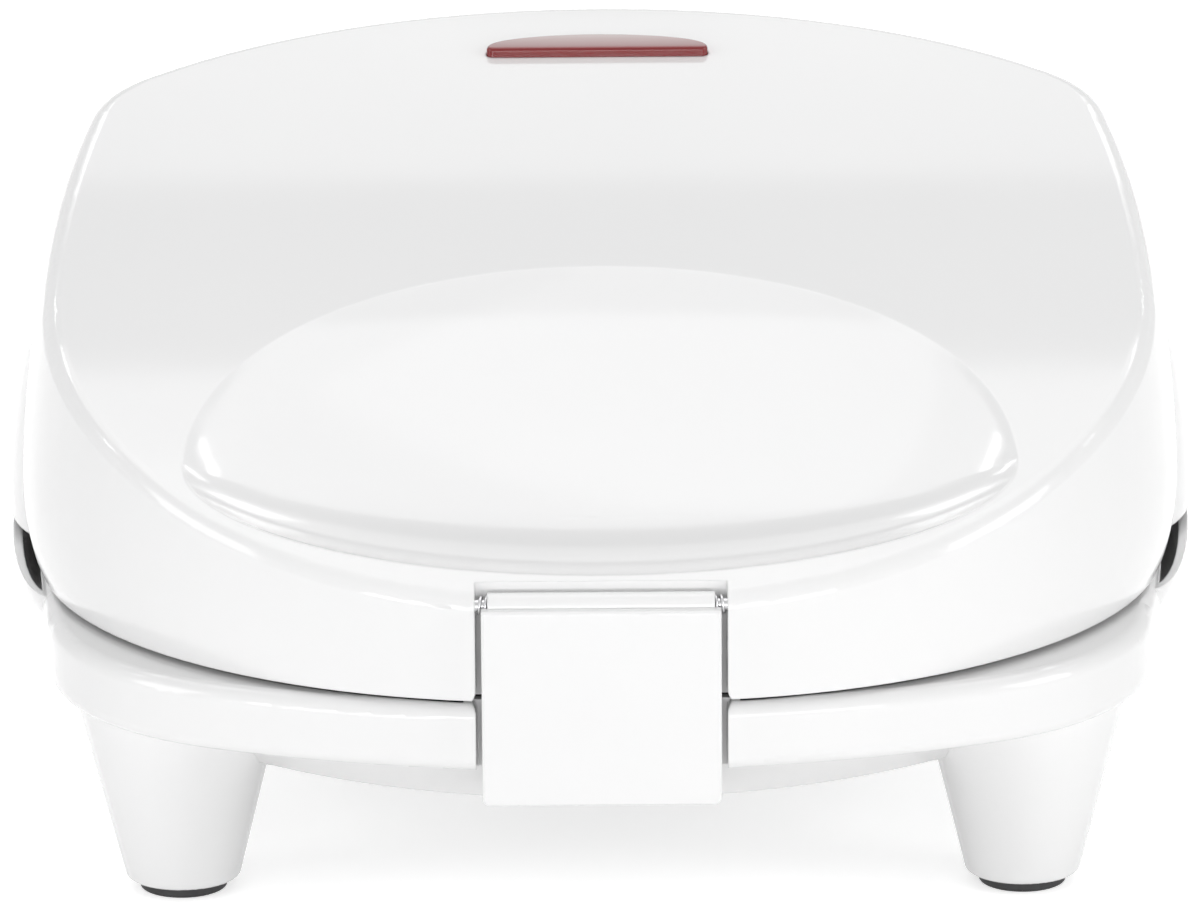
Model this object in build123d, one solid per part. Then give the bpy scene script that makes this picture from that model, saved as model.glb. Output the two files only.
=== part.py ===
"""Waffle cup maker: a two-cup press with a hinged hood, a sprung front latch and conical legs.

Millimetres, Z up, the front faces -Y and the origin lies under the middle of the whole object.
Depths are measured back from the lid's front face.
"""

import os
from math import atan2, cos, degrees, pi, radians, sin, sqrt, tan

from build123d import *

os.makedirs("parts", exist_ok=True)

# Plan outline, seen from above
body_depth = 246.0
half_width = 118.0
seam_half_width = 115.0
widest_depth = 136.0
front_radius = 189.0
lid_corner_radius = 104.0
base_corner_radius = 56.0
side_radius = 545.0
rear_corner_radius = 40.0
rear_radius = 146.0

# Heights
band_low = 39.5
rim_top = 52.0
rim_rise = 1.0
rim_rise_back = 125.0
seam_gap = 2.0
hood_front_top = 74.0
hood_front_slope = 24.0
hood_radius = 802.0
barrel_start = 69.0
barrel_radius = 156.0
crest_radius = 4.0
hood_limit = 150.0
wall = 2.4

# Scoop pressed into the hood
scoop_half_width = 82.0
scoop_lip_depth = 7.6
scoop_widest_depth = 41.0
scoop_back_depth = 113.0
scoop_tilt = 21.5
scoop_below = 14.0
scoop_lift = 10.0
lip_radius = 1.0

# Side ears
lid_ear_half_width = 123.0
base_ear_half_width = 121.6
ear_centre_x = 110.0
ear_depth = 152.0
lid_ear_front = 40.0
base_ear_front = 72.0
ear_rear = 46.0
ear_above = 42.0
ear_below = 16.0
ear_wall = 2.0

# Band and belly of the base
band_low_radius = 2.5
rim_radius = 3.0
flange_inset = 13.0
belly_inset = 8.0
belly_low = 20.0
bowl_depth = 123.0
bowl_rim_radius = 115.0
bowl_turn_radius = 104.0
bowl_turn_z = 28.3
bowl_floor_radius = 72.0
bowl_flange = 4.0
pan_radius = 46.0
pan_edge_radius = 4.0
column_radius = 5.0
vents = 3
vent_pitch = 8.0
vent_width = 3.0
vent_length = 36.0

# Legs and pads
leg_x = 83.8
front_leg_depth = 52.5
rear_leg_depth = 176.0
leg_top_radius = 20.5
leg_foot_radius = 11.3
leg_edge_radius = 1.2
leg_low = 2.4
leg_floor = 2.5
pad_radius = 8.75
pad_seat = 1.5
pad_edge_radius = 0.8
pad_stem_radius = 3.0
pad_stem = 3.0
pad_play = 0.1

# Latch in the front notch
latch_half_width = 23.2
latch_gap = 1.2
latch_proud = 1.5
latch_thickness = 3.4
latch_wall = 1.6
latch_low = 33.5
latch_corner_radius = 1.6
latch_edge_radius = 0.6
latch_axis_depth = 3.4
latch_axis_z = 72.8
latch_barrel_radius = 2.5
latch_barrel_inset = 1.2
latch_hollow_drop = 5.0
latch_rib_pitch = 14.0
latch_rib = 1.2
latch_pin_radius = 1.2
latch_pin_seat = 1.8
notch_depth = 6.2
notch_flare = 3.0
notch_top = 95.0

# Hook on the latch and the ledge that it catches
hook_reach = 3.4
hook_height = 2.6
hook_ramp = 1.6
hook_gap = 0.3
hook_half = 17.0
ledge_half = 18.0
ledge_height = 3.0
ledge_low = 44.0
ledge_reach = 3.2
ledge_root = 0.5

# Latch springs on the pin
spring_x = 17.8
spring_gap = 0.2
spring_wire = 0.3
spring_play = 0.1
spring_turns = 5

# Lid hinge at the back
hinge_depth = 236.0
hinge_z = 60.0
knuckle_radius = 5.5
knuckle_gap = 0.3
knuckle_width = 9.0
knuckle_back = 4.0
hinge_pin_radius = 2.0
pin_head_radius = 3.4
pin_head = 1.2
running_gap = 0.05
lid_barrel_half = 20.0
lid_slot_half = 30.0
lid_bay_half = 32.0
lid_bay_front = 10.0
lid_bay_top = 70.0
lid_web_front = 4.0
lid_web_rise = 6.0
base_bay_half = 41.0
base_bay_front = 8.0

# Cups and cooking plates
cup_x = 47.0
cup_depth = 106.0
cup_top_radius = 38.0
cup_foot_radius = 24.0
cup_height = 24.5
batter = 7.0
cast_wall = 3.0
plate_width = 192.0
plate_length = 185.0
plate_corner = 70.0
plate_front = 14.0
plate_sheet = 3.4
plate_meet = 53.0
plate_gap = 0.2
plate_rim = 2.3
plate_rim_wall = 3.5
plate_lug_radius = 4.5
plate_cover = 1.2

# Waffle ribs in the cups
rib_width = 1.6
rib_height = 1.4
rib_root = 0.4
wall_ribs = 20
ring_shares = (0.33, 0.68)
floor_rib_pitch = 9.0
floor_ribs = 2
floor_rib_inset = 0.5

# Decks that carry the plates
deck_thickness = 2.4
deck_overlap = 3.0
deck_play = 0.3
notch_play = 0.4
deck_lug_radius = 5.0
boss_radius = 4.0

# Heaters
heater_radius = 3.2
heater_bend = 5.0
heater_terminal_x = 9.0
heater_tail = 22.0
heater_pin_radius = 1.4
heater_pin = 7.0
clamp_width = 8.0
clamp_thickness = 1.2
clamp_foot = 6.0
clamp_x = 22.0

# Screws: a depth is how far the shank reaches past the head
screw_radius = 1.5
screw_head_radius = 3.0
screw_head = 1.8
screw_play = 0.1
cross_width = 0.8
cross_length = 3.6
cross_depth = 0.8
screw_seat = 4.0
seat_play = 0.2
pilot_floor = 0.6
cover_screw = 7.5
plate_screw = 5.0
deck_screw = 8.0
deck_screw_pilot = 7.0
shield_screw = 2.6
lamp_screw = 5.0
plate_screw_x = 86.0
plate_screw_depths = (58.0, 154.0)
cover_screws = ((98.0, 84.0), (100.0, 146.0), (42.0, 216.0))
deck_screw_places = ((104.5, 88.0), (104.5, 152.0), (46.0, 212.0))

# Lamps behind the red lens
lens_half_width = 23.4
lens_front_depth = 201.0
lens_length = 12.5
lens_side = 2.0
lens_corner_radius = 1.5
lens_edge_radius = 0.8
lens_proud = 0.2
lens_flange = 1.5
lens_flange_sheet = 1.2
lens_play = 0.1
lamp_x = 11.0
lamp_radius = 3.0
lamp_play = 0.05
lamp_foot = 4.0
lamp_bulb = 6.0
lamp_flange_radius = 3.8
lamp_flange = 0.8
lamp_wire_x = 1.2
lamp_wire_radius = 0.4
lamp_wire = 5.0
holder_cup_depth = 14.0
holder_half_width = 20.0
holder_half_depth = 6.0
holder_wall = 1.2
holder_tab = 1.6
holder_tab_half_depth = 4.0
lamp_holder_top = 127.0
lamp_screw_x = 34.0

# Heat shields
shield_sheet = 0.6
shield_radius = 42.0
shield_z = 23.2
shield_rise = 13.0
shield_post_radius = 4.0
shield_post_reach = 26.0
lid_shield_rise = 5.8
lid_shield_inset = 1.0
lid_vent_pitch = 16.0
lid_vent_length = 60.0

# Cord gland
gland_x = 24.0
gland_z = 33.9
gland_depth = 236.5
gland_boss = 16.0
gland_boss_radius = 5.5
gland_radius = 4.2
gland_flange_radius = 5.4
gland_flange = 2.0
cord_radius = 3.2

# Thermostat under the lower plate
thermostat_spot = (-34.0, 174.0)
thermostat_radius = 7.0
thermostat_height = 7.0
thermostat_ear_half = 12.0
thermostat_ear_sheet = 0.8
thermostat_tab_x = 3.0
thermostat_tab_sheet = 0.8
thermostat_tab_half = 2.0
thermostat_tab_reach = 5.0

# Thermal fuse in its clip
fuse_spot = (34.0, 174.0)
fuse_radius = 2.0
fuse_half = 6.0
fuse_lead = 13.0
fuse_wire = 0.5
clip_sheet = 0.6
clip_bite = 0.1
clip_width = 5.0
clip_tab = 5.0

# Wire terminals on the cover's floor
terminal_spot = (0.0, 185.0)
terminal_half_width = 15.0
terminal_half_depth = 7.0
terminal_height = 12.0
terminal_pitch = 9.0
terminal_well_radius = 2.6
terminal_well = 6.0
terminal_hole_radius = 1.8
terminal_hole_z = 4.0

# Cutting tools run this far past the faces that they cut, or are this long
over = 1.0
long_tool = 400.0

lid_low = rim_top + seam_gap
front_rim = rim_top + rim_rise
origin_depth = (body_depth - latch_proud) / 2
lower_plate_top = plate_meet - plate_gap / 2
upper_plate_low = plate_meet + plate_gap / 2
deck_top = lower_plate_top - plate_sheet - plate_rim
deck_low = deck_top - deck_thickness
lid_deck_low = upper_plate_low + plate_sheet + plate_rim
lid_deck_top = lid_deck_low + deck_thickness
plate_centre_depth = plate_front + plate_length / 2
cup_slope = atan2(cup_top_radius - cup_foot_radius, cup_height)
notch_half = latch_half_width + latch_gap
latch_back = latch_thickness - latch_proud
latch_pin_half = notch_half + latch_pin_seat
knuckle_half = lid_barrel_half + knuckle_gap + knuckle_width
pad_top = leg_low + pad_seat
spring_coil_radius = latch_pin_radius + spring_wire + spring_play
spring_bore = spring_coil_radius + spring_wire + spring_play
lamp_depth = lens_front_depth + lens_length / 2
holder_low = lamp_holder_top - holder_cup_depth
heater_drop = plate_sheet + heater_radius
heater_path_radius = (
    cup_top_radius
    - heater_drop * tan(cup_slope)
    + (cast_wall + heater_radius) / cos(cup_slope)
)
lower_heater_z = lower_plate_top - heater_drop
upper_heater_z = upper_plate_low + heater_drop

sides = (-1, 1)
plate_screw_spots = [(side * plate_screw_x, depth) for side in sides for depth in plate_screw_depths]
deck_screw_spots = [(side * x, depth) for side in sides for x, depth in deck_screw_places]
cover_screw_spots = [(side * x, depth) for side in sides for x, depth in cover_screws]
lamp_screw_spots = [(side * lamp_screw_x, lamp_depth) for side in sides]
shield_spots = [(0.0, cup_depth + side * shield_post_reach) for side in sides]
leg_spots = [(side * leg_x, depth) for side in sides for depth in (front_leg_depth, rear_leg_depth)]


def y_at(depth):
    return depth - origin_depth


def box(x0, x1, d0, d1, z0, z1):
    """Block between two X values, two depths and two heights, each pair in either order."""
    middle = ((x0 + x1) / 2, y_at((d0 + d1) / 2), (z0 + z1) / 2)
    return Pos(*middle) * Box(abs(x1 - x0), abs(d1 - d0), abs(z1 - z0))


def post(x, depth, z0, z1, radius):
    """Upright round bar."""
    return Pos(x, y_at(depth), (z0 + z1) / 2) * Cylinder(radius, abs(z1 - z0))


def rod(x0, x1, depth, z, radius):
    """Round bar along X."""
    return Pos((x0 + x1) / 2, y_at(depth), z) * Rot(0, 90, 0) * Cylinder(radius, abs(x1 - x0))


def bore(x, depth, z0, z1, play=0.0):
    return post(x, depth, z0, z1, screw_radius + play)


def save(node, shape):
    export_step(shape, f"parts/{node}.step")


def corner_centre(half, end_y, end_radius, corner_radius, turn):
    """Centre of the arc that is tangent inside an end arc and the side arc."""
    gap_x = half - side_radius
    gap_y = widest_depth - end_y
    reach_end = abs(end_radius - corner_radius)
    reach_side = side_radius - corner_radius
    span = sqrt(gap_x**2 + gap_y**2)
    along = (reach_end**2 - reach_side**2 + span**2) / (2 * span)
    across = sqrt(reach_end**2 - along**2)
    x = (along * gap_x + turn * across * gap_y) / span
    y = end_y + (along * gap_y - turn * across * gap_x) / span
    return x, y


def bearing(start, end):
    return degrees(atan2(end[1] - start[1], end[0] - start[0]))


def plan(grow=0.0, corner_radius=lid_corner_radius, half=seam_half_width):
    """Body outline grown outwards, as tangent arcs about fixed centres."""
    front = (0.0, front_radius)
    side = (half - side_radius, widest_depth)
    rear = (0.0, body_depth - rear_radius)
    front_corner = corner_centre(half, front[1], front_radius, corner_radius, -1)
    rear_corner = corner_centre(half, rear[1], rear_radius, rear_corner_radius, 1)
    turns = [-90.0, bearing(front, front_corner), bearing(side, front_corner)]
    turns += [bearing(side, rear_corner), bearing(rear, rear_corner), 90.0]
    arcs = (
        (front, front_radius),
        (front_corner, corner_radius),
        (side, side_radius),
        (rear_corner, rear_corner_radius),
        (rear, rear_radius),
    )
    right = [
        CenterArc((x, y_at(y)), radius + grow, start, stop - start)
        for ((x, y), radius), start, stop in zip(arcs, turns, turns[1:])
    ]
    left = [arc.mirror(Plane.YZ) for arc in right]
    return make_face(Wire(right + left))


def slab(z0, z1, grow=0.0, corner_radius=base_corner_radius):
    """Upright block with the outline that the body has at its seam."""
    return Pos(0, 0, z0) * extrude(plan(grow, corner_radius), z1 - z0)


def plate_slab(z0, z1, shrink=0.0):
    """Upright block with the outline of the cooking plates."""
    outline = RectangleRounded(
        plate_width - 2 * shrink, plate_length - 2 * shrink, plate_corner - shrink
    )
    return Pos(0, y_at(plate_centre_depth), z0) * extrude(outline, z1 - z0)


def slot_block(z0, z1, radius):
    """Upright block around both cups, round at each end."""
    shape = SlotCenterToCenter(2 * cup_x, 2 * radius)
    return Pos(0, y_at(cup_depth), z0) * extrude(shape, z1 - z0)


def lean(z):
    """How far the barrel side has come in at a height."""
    return max(0.0, z - barrel_start) ** 2 / (2 * barrel_radius)


def half_at(z):
    """Half width of the lid at a height: it draws in from the barrel down to the seam."""
    share = max(0.0, barrel_start - z) / (barrel_start - lid_low)
    return half_width - (half_width - seam_half_width) * share**2


def hood_z(depth):
    """Height of the hood's top surface at a depth."""
    start = radians(hood_front_slope)
    fall = sin(start) - depth / hood_radius
    return hood_front_top + hood_radius * (sqrt(1 - fall**2) - cos(start))


def hood_block(inset, low):
    """Solid hood, drawn in by inset from the outside surface, from a height up."""
    middle = (low + barrel_start) / 2
    levels = (low, middle, barrel_start, 85.0, 100.0, 120.0, hood_limit)
    sections = [Pos(0, 0, z) * plan(-inset - lean(z), half=half_at(z)) for z in levels]
    start = radians(hood_front_slope)
    centre_y = y_at(hood_radius * sin(start))
    centre_z = hood_front_top - hood_radius * cos(start)
    roof = Pos(0, centre_y, centre_z) * Rot(0, 90, 0) * Cylinder(hood_radius - inset, long_tool)
    return loft(sections) & roof


def egg(semi_x, semi_front, semi_back, semi_z):
    """Ellipsoid whose front and back halves differ in length."""
    unit = 10.0
    halves = []
    for side, semi_y in zip(sides, (semi_front, semi_back)):
        half = Sphere(unit) & Pos(0, side * unit, 0) * Box(4 * unit, 2 * unit, 4 * unit)
        halves.append(scale(half, by=(semi_x / unit, semi_y / unit, semi_z / unit)))
    return halves[0] + halves[1]


def scoop_tool(grow=0.0):
    """Egg that presses the scoop into the hood."""
    semi_z = scoop_lift + scoop_below
    spread = 1 / sqrt(1 - (scoop_lift / semi_z) ** 2)
    slant = cos(radians(scoop_tilt))
    shape = egg(
        scoop_half_width * spread + grow,
        (scoop_widest_depth - scoop_lip_depth) / slant * spread + grow,
        (scoop_back_depth - scoop_widest_depth) / slant * spread + grow,
        semi_z + grow,
    )
    place = Pos(0, y_at(scoop_widest_depth), hood_z(scoop_widest_depth))
    return place * Rot(scoop_tilt, 0, 0) * Pos(0, 0, scoop_lift) * shape


def lid_ear(side, shrink=0.0):
    """Upper half of a side ear, drawn in by shrink."""
    height = ear_above - shrink
    half = lid_ear_half_width - ear_centre_x - shrink
    shape = egg(half, lid_ear_front - shrink, ear_rear - shrink, height)
    shape &= Pos(0, 0, ear_above) * Box(long_tool, long_tool, 2 * ear_above)
    return Pos(side * ear_centre_x, y_at(ear_depth), lid_low) * shape


def base_ear(side, shrink=0.0):
    """Lower half of a side ear, drawn in by shrink."""
    height = ear_below - shrink
    half = base_ear_half_width - ear_centre_x - shrink
    shape = egg(half, base_ear_front - shrink, ear_rear - shrink, height)
    shape &= Pos(0, 0, -ear_below) * Box(long_tool, long_tool, 2 * ear_below)
    return Pos(side * ear_centre_x, y_at(ear_depth), rim_top) * shape


def screw(x, depth, head_z, length, way):
    """Cross-head screw whose shank runs up (1) or down (-1) from under its head."""
    tip = head_z - way * screw_head
    cross = [
        Pos(x, y_at(depth), tip) * Box(cross_length, cross_width, 2 * cross_depth),
        Pos(x, y_at(depth), tip) * Box(cross_width, cross_length, 2 * cross_depth),
    ]
    shank = post(x, depth, head_z, head_z + way * length, screw_radius)
    head = post(x, depth, head_z, tip, screw_head_radius)
    return shank + head - cross


def screws(spots, head_z, length, way):
    return Compound(children=[screw(x, depth, head_z, length, way) for x, depth in spots])


def cone_z(top_radius, foot_radius, top_z, foot_z):
    """Upright cone between two heights, on the origin's axis."""
    return Pos(0, 0, (top_z + foot_z) / 2) * Cone(foot_radius, top_radius, top_z - foot_z)


def on_cups(shape):
    """A shape copied onto both cups."""
    return [Pos(side * cup_x, y_at(cup_depth), 0) * shape for side in sides]


def cup_ribs(top_radius, foot_radius, top_z, foot_z, inward, turn):
    """Waffle ribs on a cup wall and floor: uprights, two rings and a floor grid."""
    step = rib_height / cos(cup_slope)
    near, far = (step, rib_root) if inward else (rib_root, step)
    band = cone_z(top_radius + far, foot_radius + far, top_z, foot_z)
    band -= cone_z(top_radius - near, foot_radius - near, top_z, foot_z)
    blade = Pos(top_radius, 0, (top_z + foot_z) / 2) * Box(2 * top_radius, rib_width, top_z - foot_z)
    ribs = [Rot(0, 0, turn + 360 / wall_ribs * n) * blade & band for n in range(wall_ribs)]
    for share in ring_shares:
        z = foot_z + share * (top_z - foot_z)
        ribs.append(Pos(0, 0, z) * Box(long_tool, long_tool, rib_width) & band)
    disc = Pos(0, 0, foot_z) * Cylinder(foot_radius - floor_rib_inset, 2 * rib_height)
    for n in range(-floor_ribs, floor_ribs + 1):
        at = n * floor_rib_pitch
        ribs.append(Pos(at, 0, foot_z) * Box(rib_width, long_tool, 2 * rib_height) & disc)
        ribs.append(Pos(0, at, foot_z) * Box(long_tool, rib_width, 2 * rib_height) & disc)
    return ribs


def lower_cup_plate():
    """Cast plate with two cups, a rim underneath and lugs for its screws."""
    top = lower_plate_top
    floor = top - cup_height
    skin = cast_wall / cos(cup_slope)
    outer_foot = cup_foot_radius + skin - cast_wall * tan(cup_slope)
    plate = plate_slab(top - plate_sheet, top)
    plate += plate_slab(deck_top, top) - plate_slab(deck_top, top, plate_rim_wall)
    plate += on_cups(cone_z(cup_top_radius + skin, outer_foot, top, floor - cast_wall))
    plate -= on_cups(cone_z(cup_top_radius, cup_foot_radius, top, floor))
    for rib in cup_ribs(cup_top_radius, cup_foot_radius, top - over, floor, True, 0):
        plate += on_cups(rib)
    for x, depth in plate_screw_spots:
        plate += post(x, depth, deck_top, top - plate_sheet / 2, plate_lug_radius)
        plate -= bore(x, depth, deck_top - over, top - plate_cover)
    return plate


def upper_cup_plate():
    """Cast plate with two hollow plugs that reach into the cups."""
    low = upper_plate_low
    tip = lower_plate_top - cup_height + batter
    shift = batter / cos(cup_slope)
    slope = tan(cup_slope)
    skin = cast_wall / cos(cup_slope)
    top_radius = cup_top_radius + (low - lower_plate_top) * slope - shift
    tip_radius = cup_foot_radius + batter * slope - shift
    inner_top = top_radius - skin + plate_sheet * slope
    inner_tip = tip_radius - skin + cast_wall * slope
    plate = plate_slab(low, low + plate_sheet)
    plate += plate_slab(low, lid_deck_low) - plate_slab(low, lid_deck_low, plate_rim_wall)
    plate += on_cups(cone_z(top_radius, tip_radius, low, tip))
    plate -= on_cups(cone_z(inner_top, inner_tip, low + plate_sheet, tip + cast_wall))
    for rib in cup_ribs(top_radius, tip_radius, low, tip, False, 180 / wall_ribs):
        plate += on_cups(rib)
    for x, depth in plate_screw_spots:
        plate += post(x, depth, low + plate_sheet / 2, lid_deck_low, plate_lug_radius)
        plate -= bore(x, depth, low + plate_cover, lid_deck_low + over)
    return plate


def heater(z):
    """Tube bent round both cups, open at the back, with a bare pin at each end."""
    y_mid = y_at(cup_depth)
    front = y_mid - heater_path_radius
    back = y_mid + heater_path_radius
    end = back + heater_tail
    far_x = cup_x + heater_path_radius
    bend_x = heater_terminal_x + heater_bend
    near = heater_bend * (1 - sin(pi / 4))
    half = [
        Line((0, front, z), (cup_x, front, z)),
        ThreePointArc((cup_x, front, z), (far_x, y_mid, z), (cup_x, back, z)),
        Line((cup_x, back, z), (bend_x, back, z)),
        ThreePointArc(
            (bend_x, back, z),
            (heater_terminal_x + near, back + near, z),
            (heater_terminal_x, back + heater_bend, z),
        ),
        Line((heater_terminal_x, back + heater_bend, z), (heater_terminal_x, end, z)),
    ]
    route = Wire(half + [edge.mirror(Plane.YZ) for edge in half])
    start = Plane(origin=(heater_terminal_x, end, z), z_dir=(0, 1, 0))
    pin = Pos(0, end + heater_pin / 2, z) * Rot(90, 0, 0) * Cylinder(heater_pin_radius, heater_pin)
    pins = [Pos(side * heater_terminal_x, 0, 0) * pin for side in sides]
    return sweep(start * Circle(heater_radius), path=route) + pins


def clamp(x, depth, z_sheet, way, out):
    """Sheet strap bent over the heater tube, with one foot on the plate."""
    tube_z = z_sheet + way * heater_radius
    half = clamp_width / 2
    outside = heater_radius + clamp_thickness
    reach = depth + out * (outside + clamp_foot)
    cut_half = half + over
    strap = rod(x - half, x + half, depth, tube_z, outside)
    strap += box(x - half, x + half, depth - outside, depth + outside, z_sheet, tube_z)
    strap += box(x - half, x + half, depth, reach, z_sheet, z_sheet + way * clamp_thickness)
    strap -= rod(x - cut_half, x + cut_half, depth, tube_z, heater_radius)
    strap -= box(
        x - cut_half, x + cut_half, depth - heater_radius, depth + heater_radius, z_sheet, tube_z
    )
    beyond = z_sheet - way * 2 * outside
    return strap - box(
        x - cut_half, x + cut_half, depth - 2 * outside, depth + 2 * outside, z_sheet, beyond
    )


def heater_clamps(z_sheet, way):
    spots = ((0.0, -1), (-clamp_x, 1), (clamp_x, 1))
    straps = [clamp(x, cup_depth + out * heater_path_radius, z_sheet, way, out) for x, out in spots]
    return Compound(children=straps)


def notch_tool(low, high, mouth_z):
    """Front notch for the latch, its mouth corners rounded at one height."""
    front = -over - latch_proud
    tool = box(-notch_half, notch_half, front, notch_depth, low, high)
    turn_z = mouth_z + (notch_flare if mouth_z == low else -notch_flare)
    for side in sides:
        turn_x = side * (notch_half + notch_flare)
        corner = box(side * notch_half, turn_x, front, notch_depth, mouth_z, turn_z)
        turn = Pos(turn_x, y_at(0), turn_z) * Rot(90, 0, 0)
        tool += corner - turn * Cylinder(notch_flare, 4 * notch_depth)
    return tool


def base_housing():
    """Band with its deck, ears, latch ledge and the outer hinge knuckles; its rim is lower at the back."""
    beyond = body_depth + over
    band = slab(band_low, front_rim)
    band = fillet(band.edges().group_by(Axis.Z)[0], band_low_radius)
    band = fillet(band.edges().group_by(Axis.Z)[-1], rim_radius)
    band -= box(-long_tool, long_tool, rim_rise_back, beyond, rim_top, front_rim + over)
    for side in sides:
        band += base_ear(side) - slab(rim_top - ear_below, rim_top, -band_low_radius)
    block_half = notch_half + wall
    block = box(-block_half, block_half, 0, notch_depth + wall, band_low, front_rim)
    hollow = slab(band_low + wall, deck_low, -wall)
    hollow += slab(deck_top, front_rim + over, -wall, lid_corner_radius)
    band -= hollow - block
    mouth = slab(band_low - over, band_low + wall + over, -flange_inset)
    mouth_radius = bowl_rim_radius - bowl_flange
    band -= mouth & post(0, bowl_depth, band_low - over, band_low + wall + over, mouth_radius)
    band -= plate_slab(deck_low - over, deck_top + over, deck_overlap)
    for side in sides:
        band -= base_ear(side, ear_wall) - slab(rim_top - ear_below, rim_top + over)
    band -= notch_tool(band_low - over, front_rim + over, front_rim + over)
    ledge_front = notch_depth - ledge_reach
    ledge_back = notch_depth + ledge_root
    ledge_top = ledge_low + ledge_height
    band += box(-ledge_half, ledge_half, ledge_front, ledge_back, ledge_low, ledge_top)
    for x, depth in plate_screw_spots:
        band += post(x, depth, deck_low, deck_top, deck_lug_radius)
        band -= bore(x, depth, deck_low - over, deck_top + over, screw_play)
    for x, depth in cover_screw_spots:
        band += post(x, depth, band_low, deck_low, boss_radius)
        band -= bore(x, depth, band_low - over, deck_low - pilot_floor)
    bay_front = hinge_depth - base_bay_front
    band -= box(-base_bay_half, base_bay_half, bay_front, beyond, deck_top, rim_top + over)
    for side in sides:
        near = side * (lid_barrel_half + knuckle_gap)
        far = side * knuckle_half
        back = hinge_depth + knuckle_back
        band += rod(near, far, hinge_depth, hinge_z, knuckle_radius)
        band += box(near, far, hinge_depth - knuckle_radius, back, deck_low, hinge_z)
    return band - rod(-base_bay_half, base_bay_half, hinge_depth, hinge_z, hinge_pin_radius)


def bowl(skin, top):
    """Round belly under the band, drawn in by skin."""
    low = belly_low + skin
    steep = (bowl_rim_radius - bowl_turn_radius) / (band_low - bowl_turn_z)
    shallow = (bowl_turn_radius - bowl_floor_radius) / (bowl_turn_z - belly_low)
    shape = slab(low, top, -belly_inset - skin)
    turns = ((bowl_rim_radius, band_low, steep), (bowl_turn_radius, bowl_turn_z, shallow))
    for radius, z, slope in turns:
        foot = radius + slope * (low - z) - skin * sqrt(1 + slope**2)
        cone = Cone(foot, foot + slope * (top - low), top - low)
        shape &= Pos(0, y_at(bowl_depth), (low + top) / 2) * cone
    return shape


def leg(x, depth):
    cone = Cone(leg_foot_radius, leg_top_radius, band_low - leg_low)
    cone = fillet(cone.edges().sort_by(Axis.Z)[0], leg_edge_radius)
    return Pos(x, y_at(depth), (band_low + leg_low) / 2) * cone


def leg_hollow(x, depth):
    """Room inside a leg, the seat of its pad and the hole for the pad's stem."""
    floor = pad_top + leg_floor
    cone = Cone(leg_foot_radius - wall, leg_top_radius - wall, band_low - floor)
    hollow = Pos(x, y_at(depth), (band_low + floor) / 2) * cone
    hollow += post(x, depth, leg_low - over, pad_top, pad_radius + pad_play)
    return hollow + post(x, depth, leg_low, floor + over, pad_stem_radius + pad_play)


def bottom_cover():
    """Shell of belly, pan and legs, with seats for its screws and the cord's boss."""
    pan = slot_block(belly_low, band_low, pan_radius)
    pan = fillet(pan.edges().group_by(Axis.Z)[0], pan_edge_radius)
    belly = bowl(0, band_low) + pan
    solid = belly
    for x, depth in leg_spots:
        solid += leg(x, depth)
    room = bowl(wall, band_low + over)
    room += slot_block(belly_low + wall, band_low + over, pan_radius - wall)
    cover = solid - room
    for x, depth in cover_screw_spots:
        cover += post(x, depth, belly_low, band_low, column_radius) & belly
    for x, depth in leg_spots:
        cover -= leg_hollow(x, depth)
    for x, depth in cover_screw_spots:
        seat = band_low - screw_seat
        cover -= post(x, depth, belly_low - over, seat, screw_head_radius + seat_play)
        cover -= bore(x, depth, belly_low, band_low + over, screw_play)
    tube = Pos(gland_x, y_at(gland_depth - gland_boss / 2), gland_z) * Rot(90, 0, 0)
    cover += tube * Cylinder(gland_boss_radius, gland_boss)
    cover -= tube * Cylinder(gland_radius, 2 * gland_boss)
    vent = box(
        -vent_width / 2,
        vent_width / 2,
        cup_depth - vent_length / 2,
        cup_depth + vent_length / 2,
        belly_low - over,
        belly_low + wall + over,
    )
    cover -= [Pos(n * vent_pitch, 0, 0) * vent for n in range(-vents, vents + 1)]
    for x, depth in shield_spots:
        cover += post(x, depth, belly_low + wall / 2, shield_z, shield_post_radius)
        cover -= bore(x, depth, belly_low + over, shield_z + over)
    return cover


def foot_pads():
    pads = []
    for x, depth in leg_spots:
        disc = fillet(Cylinder(pad_radius, pad_top).edges().sort_by(Axis.Z)[0], pad_edge_radius)
        stem = post(x, depth, pad_top / 2, pad_top + pad_stem, pad_stem_radius)
        pads.append(Pos(x, y_at(depth), pad_top / 2) * disc + stem)
    return Compound(children=pads)


def lower_heat_shield():
    """Tray under the cups, screwed to two posts of the bottom cover."""
    top = shield_z + shield_rise
    tray = slot_block(shield_z, top, shield_radius)
    tray -= slot_block(shield_z + shield_sheet, top + over, shield_radius - shield_sheet)
    for x, depth in shield_spots:
        tray -= bore(x, depth, shield_z - over, shield_z + over, seat_play)
    return tray


def lid_heat_shield():
    """Vented sheet roof over the upper heater, standing on the lid's deck."""
    roof = lid_deck_top + lid_shield_rise
    inside = lid_shield_inset + shield_sheet
    tray = plate_slab(lid_deck_top, roof, lid_shield_inset)
    tray -= plate_slab(lid_deck_top - over, roof - shield_sheet, inside)
    vent = box(
        -vent_width / 2,
        vent_width / 2,
        cup_depth - lid_vent_length / 2,
        cup_depth + lid_vent_length / 2,
        roof - shield_sheet - over,
        roof + over,
    )
    return tray - [Pos(n * lid_vent_pitch, 0, 0) * vent for n in range(-vents, vents + 1)]


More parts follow.
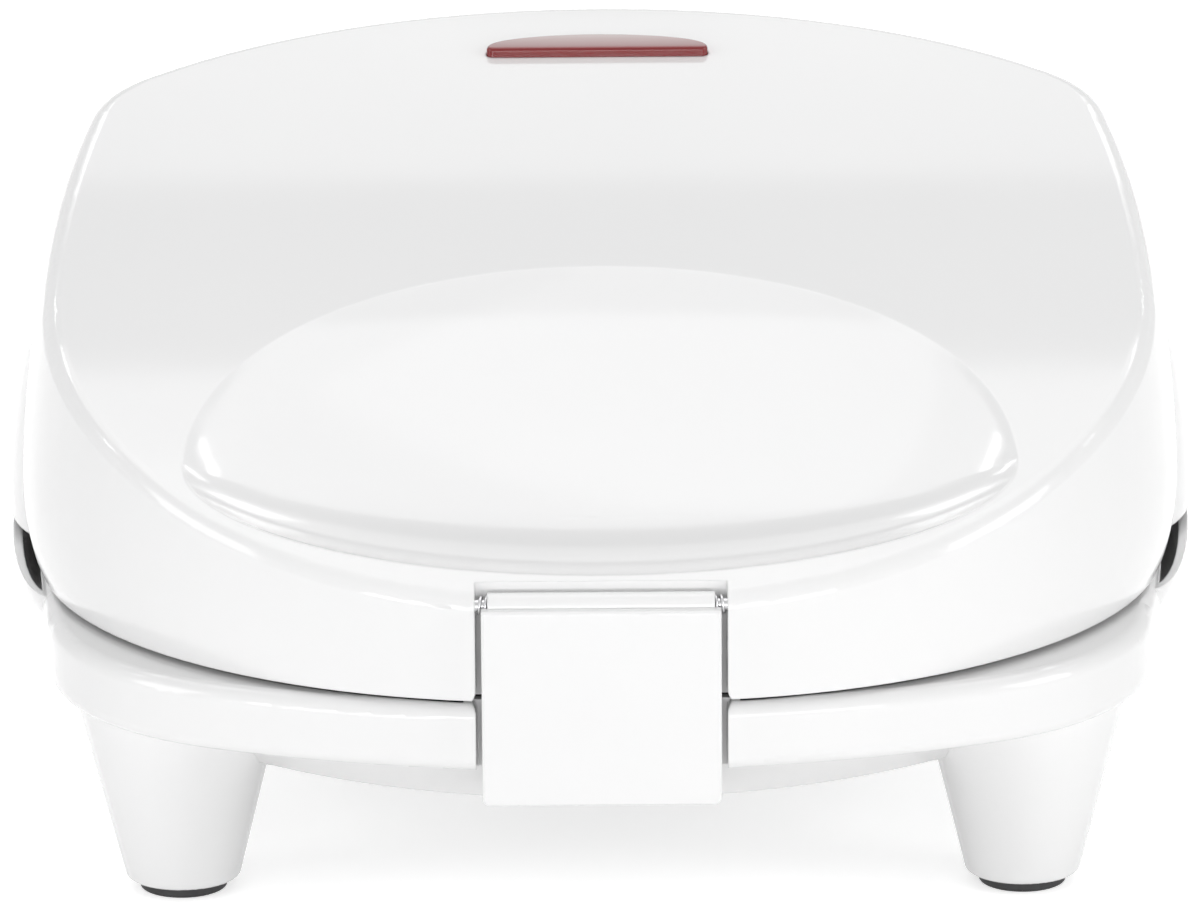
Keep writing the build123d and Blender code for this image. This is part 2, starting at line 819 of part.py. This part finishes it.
def thermostat():
    """Round snap thermostat with its fixing ears and two wire tabs."""
    top = lower_plate_top - plate_sheet
    x, depth = thermostat_spot
    low = top - thermostat_height
    half = thermostat_radius / 2
    ear = thermostat_ear_half
    body = post(x, depth, low, top, thermostat_radius)
    body += box(x - ear, x + ear, depth - half, depth + half, top - thermostat_ear_sheet, top)
    sheet = thermostat_tab_sheet / 2
    reach = thermostat_tab_half
    tab = box(
        x - sheet, x + sheet, depth - reach, depth + reach, low - thermostat_tab_reach, low + over
    )
    return body + [Pos(side * thermostat_tab_x, 0, 0) * tab for side in sides]


def thermal_fuse():
    """Round fuse with two leads, held to the plate by a sheet clip."""
    top = lower_plate_top - plate_sheet
    x, depth = fuse_spot
    z = top - clip_sheet - fuse_radius
    outside = fuse_radius - clip_bite + clip_sheet
    half = clip_width / 2
    back = depth + outside + clip_tab
    fuse = rod(x - fuse_half, x + fuse_half, depth, z, fuse_radius)
    fuse += rod(x - fuse_lead, x + fuse_lead, depth, z, fuse_wire)
    fuse += box(x - half, x + half, depth - outside, depth + outside, z - outside, top)
    return fuse + box(x - half, x + half, depth, back, top - clip_sheet, top)


def terminal_block():
    """Three-way block: screw wells from above, wire holes from front to back."""
    low = belly_low + wall
    x, depth = terminal_spot
    width = terminal_half_width
    reach = terminal_half_depth
    top = low + terminal_height
    block = box(x - width, x + width, depth - reach, depth + reach, low, top)
    for n in (-1, 0, 1):
        at = x + n * terminal_pitch
        hole = Pos(at, y_at(depth), low + terminal_hole_z) * Rot(90, 0, 0)
        block -= post(at, depth, top - terminal_well, top + over, terminal_well_radius)
        block -= hole * Cylinder(terminal_hole_radius, 4 * terminal_half_depth)
    return block


def cord_gland():
    """Bush through the rear boss, flanged outside."""
    place = Pos(gland_x, y_at(gland_depth + gland_flange), gland_z) * Rot(90, 0, 0)
    length = gland_boss + gland_flange
    bush = place * Pos(0, 0, length / 2) * Cylinder(gland_radius, length)
    bush += place * Pos(0, 0, gland_flange / 2) * Cylinder(gland_flange_radius, gland_flange)
    return bush - place * Pos(0, 0, length / 2) * Cylinder(cord_radius, 2 * length)


def hinge_pin():
    end = knuckle_half + pin_head
    pin = rod(-end, end, hinge_depth, hinge_z, hinge_pin_radius)
    heads = [rod(side * knuckle_half, side * end, hinge_depth, hinge_z, pin_head_radius) for side in sides]
    return pin + heads


def lid_housing():
    """Hood with its scoop, ears, latch notch, hinge barrel and inner columns."""
    skin = hood_block(0, lid_low)
    skin = fillet(skin.faces().sort_by(Axis.Z)[-1].edges(), crest_radius)
    shell = skin - scoop_tool()
    lip_y = y_at(scoop_lip_depth)
    lip = [edge for edge in shell.edges() if abs(edge.position_at(0.5).Y - lip_y) < lip_radius]
    shell = fillet(lip, lip_radius)
    for side in sides:
        shell += lid_ear(side) - hood_block(wall, lid_low - over)
    block_half = notch_half + wall
    block = box(-block_half, block_half, -over, notch_depth + wall, lid_low, notch_top)
    shell -= hood_block(wall, lid_low - over) - scoop_tool(wall) - block
    for side in sides:
        shell -= lid_ear(side, ear_wall) - hood_block(0, lid_low - over)
    shell -= notch_tool(lid_low - over, notch_top, lid_low - over)
    bay_front = hinge_depth - lid_bay_front
    beyond = body_depth + over
    shell -= box(-lid_bay_half, lid_bay_half, bay_front, beyond, lid_low - over, lid_bay_top)
    inside = skin - scoop_tool(wall / 2)
    for x, depth in deck_screw_spots:
        shell += post(x, depth, lid_deck_top, hood_limit, boss_radius) & inside
        shell -= bore(x, depth, lid_deck_top - over, lid_deck_top + deck_screw_pilot)
    for x, depth in lamp_screw_spots:
        shell += post(x, depth, lamp_holder_top, hood_limit, boss_radius) & inside
        shell -= bore(x, depth, lamp_holder_top - over, lamp_holder_top + lamp_screw)
    half = lid_barrel_half
    web_front = hinge_depth - lid_web_front
    shell += box(-half, half, web_front, body_depth, hinge_z, lid_bay_top + lid_web_rise) & skin
    shell += rod(-half, half, hinge_depth, hinge_z, knuckle_radius)
    shell -= rod(-lid_bay_half, lid_bay_half, hinge_depth, hinge_z, hinge_pin_radius + running_gap)
    slot_back = hinge_depth + knuckle_radius + over
    for side in sides:
        near, far = side * half, side * lid_slot_half
        shell -= box(near, far, bay_front, slot_back, lid_low, lid_bay_top)
        seat = side * latch_pin_half
        shell -= rod(side * notch_half, seat, latch_axis_depth, latch_axis_z, latch_pin_radius)
    return shell - lens_plug(0, lamp_holder_top, hood_limit)


def lid_deck():
    """Frame inside the lid rim that carries the upper plate."""
    low = lid_deck_low - over
    high = lid_deck_top + over
    deck = slab(lid_deck_low, lid_deck_top, -wall - deck_play, lid_corner_radius)
    deck -= plate_slab(low, high, deck_overlap)
    half = notch_half + wall + notch_play
    deck -= box(-half, half, -over, notch_depth + wall + notch_play, low, high)
    for x, depth in plate_screw_spots:
        deck += post(x, depth, lid_deck_low, lid_deck_top, deck_lug_radius)
    half = lid_bay_half + 2 * over
    deck -= box(-half, half, hinge_depth - lid_bay_front - 2 * over, body_depth, low, high)
    for x, depth in plate_screw_spots + deck_screw_spots:
        deck -= bore(x, depth, low, high, screw_play)
    return deck


def lens_plug(grow, low, high):
    """Upright D-shaped plug of the lens: straight in front, arched behind."""
    bend = lens_front_depth + lens_side
    half = lens_half_width + grow
    reach = lens_side + grow
    arch = Ellipse(half, lens_length - lens_side + grow)
    arch &= Pos(0, lens_length) * Rectangle(4 * half, 2 * lens_length)
    front = Rectangle(2 * half, reach)
    outline = Pos(0, y_at(bend)) * arch + Pos(0, y_at(bend - reach / 2)) * front
    outline = fillet(outline.vertices().group_by(Axis.Y)[0], lens_corner_radius)
    return Pos(0, 0, low) * extrude(outline, high - low)


def indicator_lens():
    """Lens flush with the hood, flanged inside."""
    top = hood_z(lens_front_depth + lens_length) + lens_proud
    low = hood_z(lens_front_depth) - 4 * wall
    lens = lens_plug(-lens_play, low, top)
    lens = fillet(lens.edges().group_by(Axis.Z)[-1], lens_edge_radius)
    lens -= hood_block(wall, lid_low)
    flange = lens_plug(lens_flange, low, top) & hood_block(wall, lid_low)
    return lens + (flange - hood_block(wall + lens_flange_sheet, lid_low))


def lamp_holder():
    """Open box for both lamps, hung from two columns by its side tabs."""
    top = lamp_holder_top
    half = holder_half_width
    reach = holder_half_depth
    inner = half - holder_wall
    inner_reach = reach - holder_wall
    tab_half = lamp_screw_x + boss_radius
    tab_reach = holder_tab_half_depth
    tab_low = top - holder_tab
    floor = holder_low + holder_wall
    holder = box(-half, half, lamp_depth - reach, lamp_depth + reach, holder_low, top + over)
    holder += box(-tab_half, tab_half, lamp_depth - tab_reach, lamp_depth + tab_reach, tab_low, top)
    holder -= box(
        -inner, inner, lamp_depth - inner_reach, lamp_depth + inner_reach, floor, top + 2 * over
    )
    for x, depth in lamp_screw_spots:
        holder -= bore(x, depth, tab_low - over, top + over, screw_play)
    for side in sides:
        holder -= post(side * lamp_x, lamp_depth, holder_low - over, floor + over, lamp_radius)
    return holder


def lamp(x):
    """Small lamp: round envelope on a flange, two wires below."""
    low = holder_low + holder_wall
    radius = lamp_radius - lamp_play
    foot = low - lamp_foot
    body = post(x, lamp_depth, foot, low + lamp_bulb, radius)
    body += Pos(x, y_at(lamp_depth), low + lamp_bulb) * Sphere(radius)
    body += post(x, lamp_depth, low, low + lamp_flange, lamp_flange_radius)
    for side in sides:
        wire_x = x + side * lamp_wire_x
        body += post(wire_x, lamp_depth, foot - lamp_wire, foot + over, lamp_wire_radius)
    return body


def latch_plate():
    """Plate on a barrel, hollow and ribbed behind, with the hook that holds the lid down."""
    half = latch_half_width
    back = latch_back
    plate = box(-half, half, -latch_proud, back, latch_low, latch_axis_z)
    plate = fillet(plate.edges().filter_by(Axis.Y).group_by(Axis.Z)[0], latch_corner_radius)
    plate = fillet(plate.faces().sort_by(Axis.Y)[0].edges(), latch_edge_radius)
    inner = half - latch_wall
    face = back - latch_wall
    low = latch_low + latch_wall
    high = latch_axis_z - latch_hollow_drop
    plate -= box(-inner, inner, face, back + over, low, high)
    rib = box(-latch_rib / 2, latch_rib / 2, face - latch_rib / 2, back, low - over, high + over)
    plate += [Pos(n * latch_rib_pitch, 0, 0) * rib for n in (-1, 0, 1)]
    end = half - latch_barrel_inset
    plate += rod(-end, end, latch_axis_depth, latch_axis_z, latch_barrel_radius)
    for side in sides:
        near = side * (spring_x - spring_gap)
        plate -= rod(near, side * (half + over), latch_axis_depth, latch_axis_z, spring_bore)
    pin_bore = latch_pin_radius + running_gap
    plate -= rod(-half - over, half + over, latch_axis_depth, latch_axis_z, pin_bore)
    hook_top = ledge_low - hook_gap
    root = face - latch_rib / 2
    hook = box(-hook_half, hook_half, root, back + hook_reach, hook_top - hook_height, hook_top)
    lowest = hook.edges().filter_by(Axis.X).sort_by(Axis.Z)[:2]
    return plate + chamfer(lowest.sort_by(Axis.Y)[-1], hook_ramp)


def latch_pin():
    half = latch_pin_half
    return rod(-half, half, latch_axis_depth, latch_axis_z, latch_pin_radius)


def latch_spring():
    """Two coils wound on the latch pin, one in each end of the latch's barrel."""
    start = spring_x + spring_wire
    length = notch_half - start - 2 * spring_wire
    coil = Helix(length / spring_turns, length, spring_coil_radius)
    wire = sweep(Plane(origin=coil @ 0, z_dir=coil % 0) * Circle(spring_wire), path=coil)
    right = Pos(start, y_at(latch_axis_depth), latch_axis_z) * Rot(0, 90, 0) * wire
    return Compound(children=[right, mirror(right, about=Plane.YZ)])


save("base_housing", base_housing())
save("bottom_cover", bottom_cover())
save("foot_pads", foot_pads())
save("base_screws", screws(cover_screw_spots, band_low - screw_seat, cover_screw, 1))
save("lower_cup_plate", lower_cup_plate())
save("lower_plate_screws", screws(plate_screw_spots, deck_low, plate_screw, 1))
save("lower_heater", heater(lower_heater_z))
save("lower_heater_clamps", heater_clamps(lower_plate_top - plate_sheet, -1))
save("lower_heat_shield", lower_heat_shield())
save("shield_screws", screws(shield_spots, shield_z + shield_sheet, shield_screw, -1))
save("thermostat", thermostat())
save("thermal_fuse", thermal_fuse())
save("terminal_block", terminal_block())
save("cord_gland", cord_gland())
save("hinge_pin", hinge_pin())
save("lid_housing", lid_housing())
save("lid_deck", lid_deck())
save("deck_screws", screws(deck_screw_spots, lid_deck_low, deck_screw, 1))
save("upper_cup_plate", upper_cup_plate())
save("upper_plate_screws", screws(plate_screw_spots, lid_deck_top, plate_screw, -1))
save("upper_heater", heater(upper_heater_z))
save("upper_heater_clamps", heater_clamps(upper_plate_low + plate_sheet, 1))
save("lid_heat_shield", lid_heat_shield())
save("indicator_lens", indicator_lens())
save("lamp_holder", lamp_holder())
save("lamp_screws", screws(lamp_screw_spots, lamp_holder_top - holder_tab, lamp_screw, 1))
save("power_lamp", lamp(-lamp_x))
save("ready_lamp", lamp(lamp_x))
save("latch_plate", latch_plate())
save("latch_pin", latch_pin())
save("latch_spring", latch_spring())
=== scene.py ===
from math import cos, radians, sin

import bpy
from mathutils import Matrix, Vector


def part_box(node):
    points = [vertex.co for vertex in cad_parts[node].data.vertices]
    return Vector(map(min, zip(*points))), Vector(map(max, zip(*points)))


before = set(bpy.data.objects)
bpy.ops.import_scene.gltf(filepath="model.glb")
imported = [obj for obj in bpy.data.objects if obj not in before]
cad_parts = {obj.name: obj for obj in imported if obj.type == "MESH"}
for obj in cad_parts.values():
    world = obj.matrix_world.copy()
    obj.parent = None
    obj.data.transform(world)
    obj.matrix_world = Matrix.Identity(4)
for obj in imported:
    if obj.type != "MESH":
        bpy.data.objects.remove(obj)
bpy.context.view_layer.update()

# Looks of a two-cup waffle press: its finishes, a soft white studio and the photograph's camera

# Lengths smaller than the scene's metre
MM = 0.001
MICRON = 0.000001

# Camera, fitted on the photograph: degrees, metres, millimetres of film, pixels
VIEW_DOWN = 16.0
VIEW_ROLL = 0.41
VIEW_DISTANCE = 2.0
VIEW_TARGET = (0.0, -0.00725, 0.0711)
SENSOR = 36.0
PHOTO_WIDTH = 1200
FOCAL_PIXELS = 9800

# Finishes, in linear colour
WHITE = (0.85, 0.85, 0.85)
WHITE_SHADE = (0.83, 0.83, 0.832)
PAD_BLACK = (0.022, 0.022, 0.023)
PAD_GREY = tuple(1.6 * value for value in PAD_BLACK)
COATING = (0.018, 0.018, 0.019)
COATING_FLECK = (0.05, 0.05, 0.052)
SHEATH = (0.30, 0.27, 0.24)
STEEL = (0.58, 0.58, 0.59)
ZINC = (0.66, 0.66, 0.66)
PHENOLIC = (0.035, 0.02, 0.015)
CERAMIC = (0.74, 0.71, 0.64)
LENS_EDGE = (0.22, 0.007, 0.009)
# Painted reflection of the back light on the lens's upward face: deep red near its front, pale pink at
# its back
LENS_NEAR_REFLECTION = (0.30, 0.055, 0.060)
LENS_FAR_REFLECTION = (0.66, 0.54, 0.52)
LAMP_AMBER = (1.0, 0.62, 0.38)
PLASTIC_IOR = 1.49
GLASS_IOR = 1.5

# Lens: shares of its depth between which the painted reflection on its face goes from deep red to pale,
# and how far up its rounded edge and its face look
REFLECTION_FROM, REFLECTION_TO = 0.12, 0.85
EDGE_UP, FACE_UP = 0.75, 0.97
LENS_CLEARNESS = 0.1
LAMP_CLEARNESS = 0.8

# How far the grain of drawn and rolled metal is stretched along each axis
EVEN = (1, 1, 1)
ALONG_X = (0.1, 1, 1)
ALONG_Y = (1, 0.06, 1)
ALONG_Z = (1, 1, 0.2)

# Studio
FLOOR_SIZE = 30
FLOOR_WHITE = 0.9
FLOOR_LIFT = 0.6
AMBIENT = 0.33

# Soft lights: name, place, aim, width, height, watts
LIGHTS = (
    ("key_top", (-0.3, 0.2, 2.0), (0, 0, 0.1), 1.6, 1.2, 3.5),
    ("key_back", (0.0, 0.55, 1.75), (0, -0.07, 0.09), 2.0, 1.1, 10),
    ("back_low", (0.0, 1.7, 1.25), (0, 0, 0.1), 1.4, 0.5, 1.6),
    ("front_low", (0.0, -1.2, 0.12), (0, -0.1, 0.03), 1.6, 0.16, 6.6),
    ("fill_left", (-2.0, -0.7, 0.7), (0, 0, 0.06), 1.0, 1.0, 10.3),
    ("fill_right", (2.0, -0.7, 0.7), (0, 0, 0.06), 1.0, 1.0, 13),
)
# Small lights that the gloss reflects, as they stand for its right half; the left half has them mirrored
SCOOP_END = (0.077, -0.075, 0.09)
GLEAMS = (
    ("glint", (-0.63, 0.77, 1.24), SCOOP_END, 0.20, 0.06, 0.22),
    ("gleam", (-0.60, 0.96, 1.07), SCOOP_END, 0.16, 0.05, 0.15),
    ("crease", (1.22, 0.27, 1.16), (0.096, -0.08, 0.09), 0.10, 0.16, 0.3),
    ("patch", (-0.42, 1.55, 1.15), (0.067, -0.087, 0.083), 0.25, 0.25, 0.4),
)


def tree_of(name):
    """A new material with its node tree and its shader."""
    material = bpy.data.materials.new(name)
    material.use_nodes = True
    return material, material.node_tree, material.node_tree.nodes["Principled BSDF"]


def noise(tree, scale, detail=3.0, stretch=EVEN):
    """Noise in metres of the object, so that its grain is as large on every piece."""
    place = tree.nodes.new("ShaderNodeTexCoord")
    shape = tree.nodes.new("ShaderNodeMapping")
    shape.inputs["Scale"].default_value = stretch
    texture = tree.nodes.new("ShaderNodeTexNoise")
    texture.inputs["Scale"].default_value = scale
    texture.inputs["Detail"].default_value = detail
    tree.links.new(place.outputs["Object"], shape.inputs["Vector"])
    tree.links.new(shape.outputs["Vector"], texture.inputs["Vector"])
    return texture.outputs["Fac"]


def blend(tree, low, high, factor, start, end):
    """Colour that goes from low to high while factor goes from start to end."""
    ramp = tree.nodes.new("ShaderNodeValToRGB")
    ramp.color_ramp.elements[0].position = start
    ramp.color_ramp.elements[1].position = end
    ramp.color_ramp.elements[0].color = (*low, 1)
    ramp.color_ramp.elements[1].color = (*high, 1)
    tree.links.new(factor, ramp.inputs["Fac"])
    return ramp.outputs["Color"]


def rescale(tree, value, start=0.0, end=1.0, low=0.0, high=1.0):
    """Value that goes from low to high while the given one goes from start to end."""
    spread = tree.nodes.new("ShaderNodeMapRange")
    spread.inputs["From Min"].default_value = start
    spread.inputs["From Max"].default_value = end
    spread.inputs["To Min"].default_value = low
    spread.inputs["To Max"].default_value = high
    tree.links.new(value, spread.inputs["Value"])
    return spread.outputs["Result"]


def larger(tree, first, second):
    """The larger of two values."""
    node = tree.nodes.new("ShaderNodeMath")
    node.operation = "MAXIMUM"
    tree.links.new(first, node.inputs[0])
    tree.links.new(second, node.inputs[1])
    return node.outputs["Value"]


def axis_of(tree, vector, axis):
    """One component of a vector."""
    parts = tree.nodes.new("ShaderNodeSeparateXYZ")
    tree.links.new(vector, parts.inputs["Vector"])
    return parts.outputs[axis]


def tint(tree, shader, low, high, factor, start=0.35, end=0.65):
    """Base colour that goes from low to high with factor."""
    tree.links.new(blend(tree, low, high, factor, start, end), shader.inputs["Base Color"])


def vary(tree, shader, low, high, factor):
    """Roughness that goes from low to high with factor."""
    tree.links.new(rescale(tree, factor, low=low, high=high), shader.inputs["Roughness"])


def relief(tree, shader, factor, height, edge):
    """Bump of that height, over edges softened by the radius edge."""
    bump = tree.nodes.new("ShaderNodeBump")
    bump.inputs["Distance"].default_value = height
    tree.links.new(factor, bump.inputs["Height"])
    bevel = tree.nodes.new("ShaderNodeBevel")
    bevel.samples = 6
    bevel.inputs["Radius"].default_value = edge
    tree.links.new(bevel.outputs["Normal"], bump.inputs["Normal"])
    tree.links.new(bump.outputs["Normal"], shader.inputs["Normal"])


def gloss_plastic():
    """White moulded plastic with a polished face."""
    material, tree, shader = tree_of("gloss_plastic_white")
    tint(tree, shader, WHITE_SHADE, WHITE, noise(tree, 6.0))
    vary(tree, shader, 0.07, 0.12, noise(tree, 40.0, detail=5.0))
    relief(tree, shader, noise(tree, 260.0, detail=2.0), 6 * MICRON, edge=0.6 * MM)
    shader.inputs["IOR"].default_value = PLASTIC_IOR
    return material


def pad_rubber():
    """Black rubber with a coarse skin."""
    material, tree, shader = tree_of("pad_rubber")
    tint(tree, shader, PAD_BLACK, PAD_GREY, noise(tree, 300.0, detail=6.0))
    vary(tree, shader, 0.55, 0.75, noise(tree, 200.0))
    relief(tree, shader, noise(tree, 900.0, detail=6.0), 60 * MICRON, edge=0.4 * MM)
    return material


def nonstick():
    """Dark coating with fine paler flecks."""
    material, tree, shader = tree_of("nonstick_coating")
    flecks = noise(tree, 1800.0, detail=2.0)
    tint(tree, shader, COATING, COATING_FLECK, flecks, start=0.56, end=0.68)
    vary(tree, shader, 0.34, 0.48, noise(tree, 120.0, detail=5.0))
    relief(tree, shader, noise(tree, 700.0), 40 * MICRON, edge=0.4 * MM)
    return material


def metal(name, colour, low, high, grain, stretch):
    """Drawn or rolled metal whose grain runs along its least stretched axis."""
    material, tree, shader = tree_of(name)
    lines = noise(tree, grain, detail=4.0, stretch=stretch)
    tint(tree, shader, tuple(0.86 * value for value in colour), colour, lines)
    vary(tree, shader, low, high, lines)
    relief(tree, shader, lines, 20 * MICRON, edge=0.2 * MM)
    shader.inputs["Metallic"].default_value = 1.0
    return material


def moulded(name, colour, lighter, rough):
    """Dull moulded or fired material with a fine grain."""
    grain = 500.0
    paler = tuple(min(1, lighter * value) for value in colour)
    material, tree, shader = tree_of(name)
    tint(tree, shader, colour, paler, noise(tree, grain, detail=5.0))
    vary(tree, shader, rough - 0.08, rough + 0.08, noise(tree, grain / 3))
    relief(tree, shader, noise(tree, grain * 2, detail=4.0), 30 * MICRON, edge=0.3 * MM)
    return material


def flow_marks(tree, shader, rough):
    """Polish and faint flow marks of clear plastic or glass."""
    vary(tree, shader, rough, 2 * rough, noise(tree, 90.0))
    relief(tree, shader, noise(tree, 200.0), 10 * MICRON, edge=0.3 * MM)


def lamp_glass():
    """Amber glass of the lamps."""
    material, tree, shader = tree_of("lamp_glass")
    tint(tree, shader, tuple(0.8 * value for value in LAMP_AMBER), LAMP_AMBER, noise(tree, 30.0))
    flow_marks(tree, shader, 0.03)
    shader.inputs["Transmission Weight"].default_value = LAMP_CLEARNESS
    shader.inputs["IOR"].default_value = GLASS_IOR
    return material


def lens_with_painted_reflection():
    """Red lens: deep red at its rounded edge; its upward face carries a painted reflection of the back
    light, deep red at the front and pale pink towards the back.
    """
    material, tree, shader = tree_of("red_lens")
    low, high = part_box("indicator_lens")
    place = tree.nodes.new("ShaderNodeTexCoord")
    depth = rescale(tree, axis_of(tree, place.outputs["Object"], "Y"), low[1], high[1])
    upward = rescale(tree, axis_of(tree, place.outputs["Normal"], "Z"), EDGE_UP, FACE_UP)
    # Upward faces get the painted reflection, the rounded edge keeps the lens's deep red
    edge_and_reflection = tree.nodes.new("ShaderNodeMix")
    edge_and_reflection.data_type = "RGBA"
    edge_and_reflection.inputs["A"].default_value = (*LENS_EDGE, 1)
    tree.links.new(upward, edge_and_reflection.inputs["Factor"])
    tree.links.new(blend(tree, LENS_NEAR_REFLECTION, LENS_FAR_REFLECTION, depth, REFLECTION_FROM, REFLECTION_TO), edge_and_reflection.inputs["B"])
    tree.links.new(edge_and_reflection.outputs["Result"], shader.inputs["Base Color"])
    flow_marks(tree, shader, 0.04)
    shader.inputs["Transmission Weight"].default_value = LENS_CLEARNESS
    shader.inputs["IOR"].default_value = PLASTIC_IOR
    return material


def dress_frame():
    """Gives the listed CAD nodes the finish of the real piece."""
    shells = ("base_housing", "bottom_cover", "lid_housing", "lid_deck", "latch_plate")
    bare_steel = (
        "lower_heater_clamps", "upper_heater_clamps", "hinge_pin", "latch_pin", "latch_spring",
        "thermal_fuse",
    )
    screws = (
        "base_screws", "lower_plate_screws", "shield_screws", "deck_screws", "upper_plate_screws",
        "lamp_screws",
    )
    finishes = {
        gloss_plastic(): shells,
        metal("brushed_steel", STEEL, 0.26, 0.38, 700.0, ALONG_X): bare_steel,
        metal("zinc_screws", ZINC, 0.22, 0.34, 1500.0, ALONG_Z): screws,
        metal("heater_sheath", SHEATH, 0.35, 0.5, 400.0, EVEN): ("lower_heater", "upper_heater"),
        metal("rolled_sheet", ZINC, 0.3, 0.42, 500.0, ALONG_Y): ("lower_heat_shield", "lid_heat_shield"),
        pad_rubber(): ("foot_pads",),
        nonstick(): ("lower_cup_plate", "upper_cup_plate"),
        moulded("phenolic", PHENOLIC, 1.6, 0.4): ("thermostat",),
        moulded("ceramic", CERAMIC, 1.1, 0.5): ("terminal_block", "lamp_holder"),
        moulded("gland_rubber", PAD_BLACK, 1.5, 0.5): ("cord_gland",),
        lens_with_painted_reflection(): ("indicator_lens",),
        lamp_glass(): ("power_lamp", "ready_lamp"),
    }
    for finish, names in finishes.items():
        for name in names:
            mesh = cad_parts[name].data
            mesh.materials.clear()
            mesh.materials.append(finish)


def floor():
    """Pale floor that shows as white and keeps the object's shadow."""
    bpy.ops.mesh.primitive_plane_add(size=FLOOR_SIZE, location=(0, 0, 0))
    plane = bpy.context.object
    plane.name = "floor"
    material, tree, shader = tree_of("studio_floor")
    path = tree.nodes.new("ShaderNodeLightPath").outputs
    seen = larger(tree, path["Is Camera Ray"], path["Is Glossy Ray"])
    shader.inputs["Base Color"].default_value = (FLOOR_WHITE, FLOOR_WHITE, FLOOR_WHITE, 1)
    shader.inputs["Roughness"].default_value = 0.8
    shader.inputs["Specular IOR Level"].default_value = 0.1
    shader.inputs["Emission Color"].default_value = (1, 1, 1, 1)
    tree.links.new(rescale(tree, seen, high=FLOOR_LIFT), shader.inputs["Emission Strength"])
    plane.data.materials.append(material)


def room():
    """White world for camera, mirror and glass rays, and a plain level of light for the rest."""
    world = bpy.data.worlds.new("studio")
    bpy.context.scene.world = world
    world.use_nodes = True
    tree = world.node_tree
    path = tree.nodes.new("ShaderNodeLightPath").outputs
    through = larger(tree, path["Is Camera Ray"], path["Is Transmission Ray"])
    seen = larger(tree, through, path["Is Glossy Ray"])
    background = tree.nodes["Background"]
    background.inputs["Color"].default_value = (1, 1, 1, 1)
    tree.links.new(rescale(tree, seen, low=AMBIENT), background.inputs["Strength"])


def soft_box(name, place, aim, width, height, watts):
    """Rectangular soft light that no camera sees."""
    light = bpy.data.lights.new(name, "AREA")
    light.shape = "RECTANGLE"
    light.size = width
    light.size_y = height
    light.energy = watts
    lamp = bpy.data.objects.new(name, light)
    lamp.location = place
    lamp.rotation_euler = (Vector(aim) - Vector(place)).to_track_quat("-Z", "Y").to_euler()
    lamp.visible_camera = False
    bpy.context.scene.collection.objects.link(lamp)


def studio_lights():
    """Large lights as given, small ones for the left half and for the right half."""
    for light in LIGHTS:
        soft_box(*light)
    for side, half in ((-1, "left"), (1, "right")):
        for name, place, aim, width, height, watts in GLEAMS:
            mirrored = [(side * x, y, z) for x, y, z in (place, aim)]
            soft_box(f"{name}_{half}", *mirrored, width, height, watts)


def camera():
    """Camera at the photograph's angle and framing."""
    down = radians(VIEW_DOWN)
    roll = radians(VIEW_ROLL)
    back = Vector((0, -cos(down), sin(down)))
    level_right = Vector((1, 0, 0))
    level_up = back.cross(level_right)
    right = level_right * cos(roll) - level_up * sin(roll)
    up = level_up * cos(roll) + level_right * sin(roll)
    data = bpy.data.cameras.new("camera")
    data.sensor_width = SENSOR
    data.lens = SENSOR * FOCAL_PIXELS / PHOTO_WIDTH
    eye = bpy.data.objects.new("camera", data)
    turn = Matrix((right, up, back)).transposed().to_4x4()
    eye.matrix_world = Matrix.Translation(Vector(VIEW_TARGET) + back * VIEW_DISTANCE) @ turn
    bpy.context.scene.collection.objects.link(eye)
    bpy.context.scene.camera = eye


dress_frame()
floor()
room()
studio_lights()
camera()
bpy.context.scene.view_settings.view_transform = "Standard"
